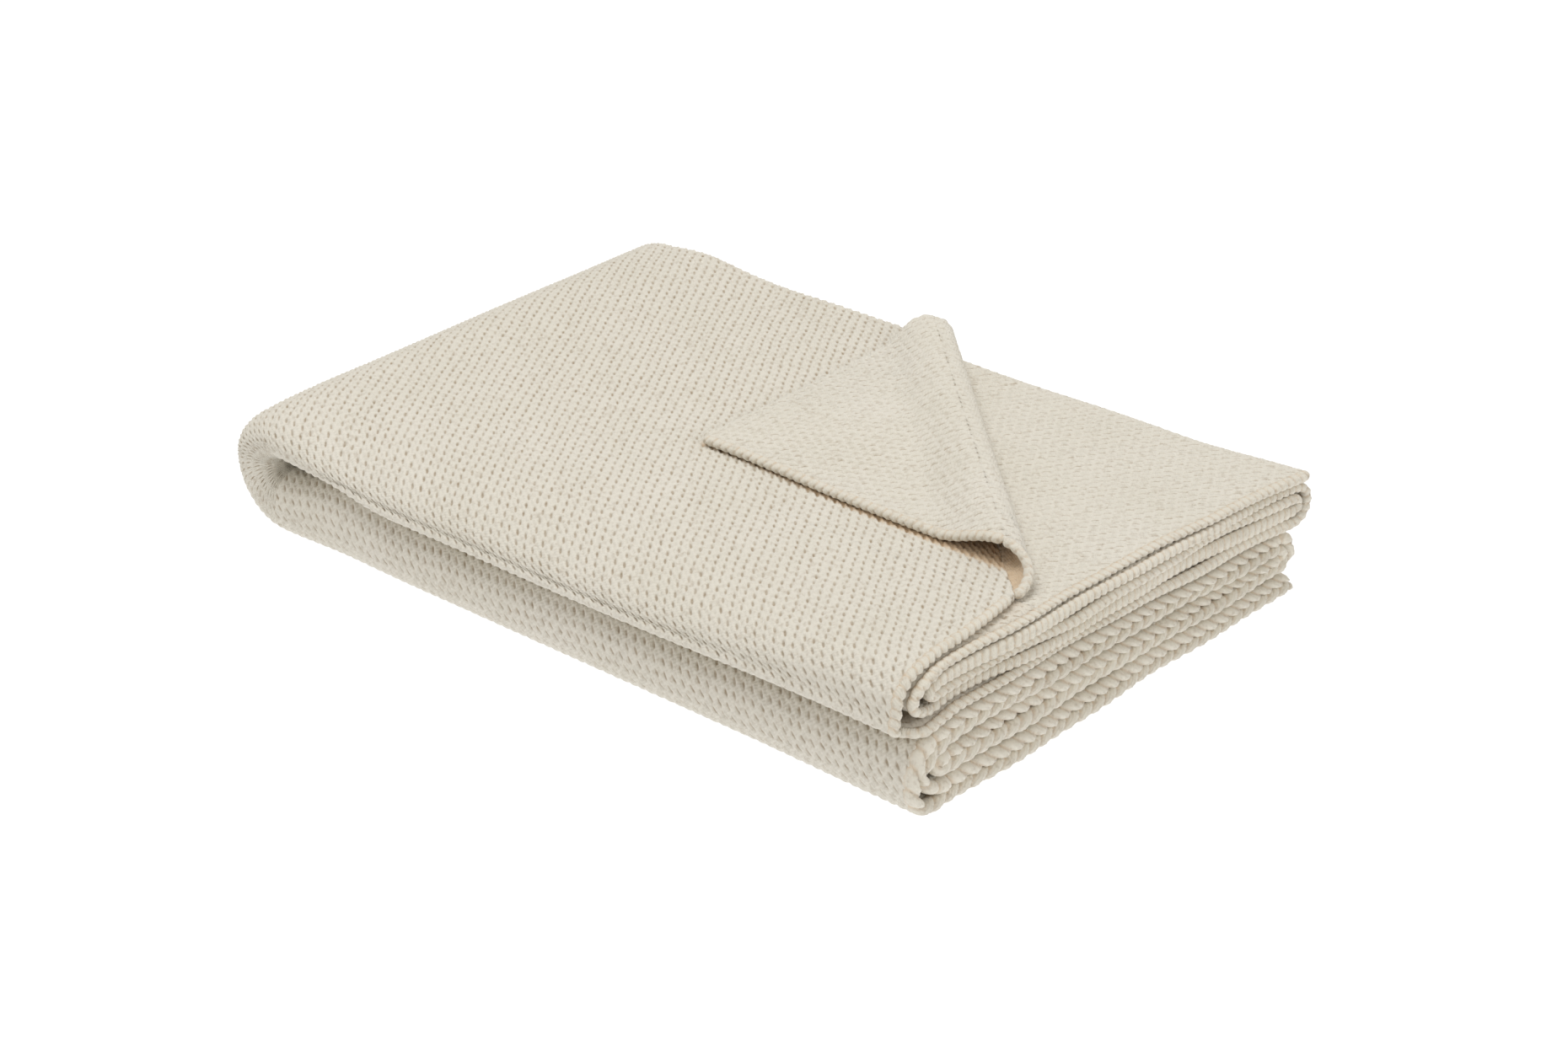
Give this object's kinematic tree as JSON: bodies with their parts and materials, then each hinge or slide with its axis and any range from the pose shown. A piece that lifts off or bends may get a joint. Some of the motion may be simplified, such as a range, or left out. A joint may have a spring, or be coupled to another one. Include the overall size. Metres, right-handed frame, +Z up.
{
  "type": "folded throw blanket",
  "caption": "Moss-stitch knitted cotton throw folded to a flat pile with rolled long sides, open edges at one end and one top corner turned back.",
  "frame": {"origin": "on the surface the pile rests on, under the middle of the folded pile", "axes": "+X along the pile towards the end with the open edges, +Y across it towards the back, -Y the side with the big rolls, +Z up"},
  "size_m": [0.65, 0.427, 0.1248],
  "materials": {
    "knit": "matte undyed cotton moss stitch",
    "knit_edge": "matte undyed cotton, finished knit edge"
  },
  "bodies": {
    "lower_half": {"lower_layer_1": "knit", "lower_layer_2": "knit", "lower_layer_3": "knit", "lower_layer_4": "knit", "lower_layer_5": "knit", "lower_layer_6": "knit", "lower_front_roll_outer": "knit", "lower_front_roll_second": "knit", "lower_front_roll_inner": "knit", "lower_back_roll_outer": "knit", "lower_back_roll_inner": "knit", "lower_selvedge_1": "knit_edge", "lower_selvedge_2": "knit_edge", "bind_off_edge": "knit_edge"},
    "upper_half": {"upper_layer_1": "knit", "upper_layer_2": "knit", "upper_layer_3": "knit", "upper_layer_4": "knit", "upper_layer_5": "knit", "upper_layer_6": "knit", "upper_front_roll_outer": "knit", "upper_front_roll_second": "knit", "upper_front_roll_inner": "knit", "upper_back_roll_outer": "knit", "upper_back_roll_inner": "knit", "upper_selvedge_1": "knit_edge", "upper_selvedge_2": "knit_edge", "cast_on_edge": "knit_edge", "corner_roll": "knit"},
    "turned_corner": {"corner_flap": "knit", "corner_flap_cast_on_edge": "knit_edge", "corner_flap_selvedge": "knit_edge"}
  },
  "joints": [
    {"name": "half_fold", "type": "hinge", "parent": "lower_half", "child": "upper_half", "pos_m": [-0.325, 0, 0.064], "axis": [0, -1, 0], "range_deg": [0, 180]},
    {"name": "corner_fold", "type": "hinge", "parent": "upper_half", "child": "turned_corner", "pos_m": [0.2807, -0.0618, 0.109], "axis": [-0.7255, 0.6882, 0], "range_deg": [0, 183]}
  ]
}
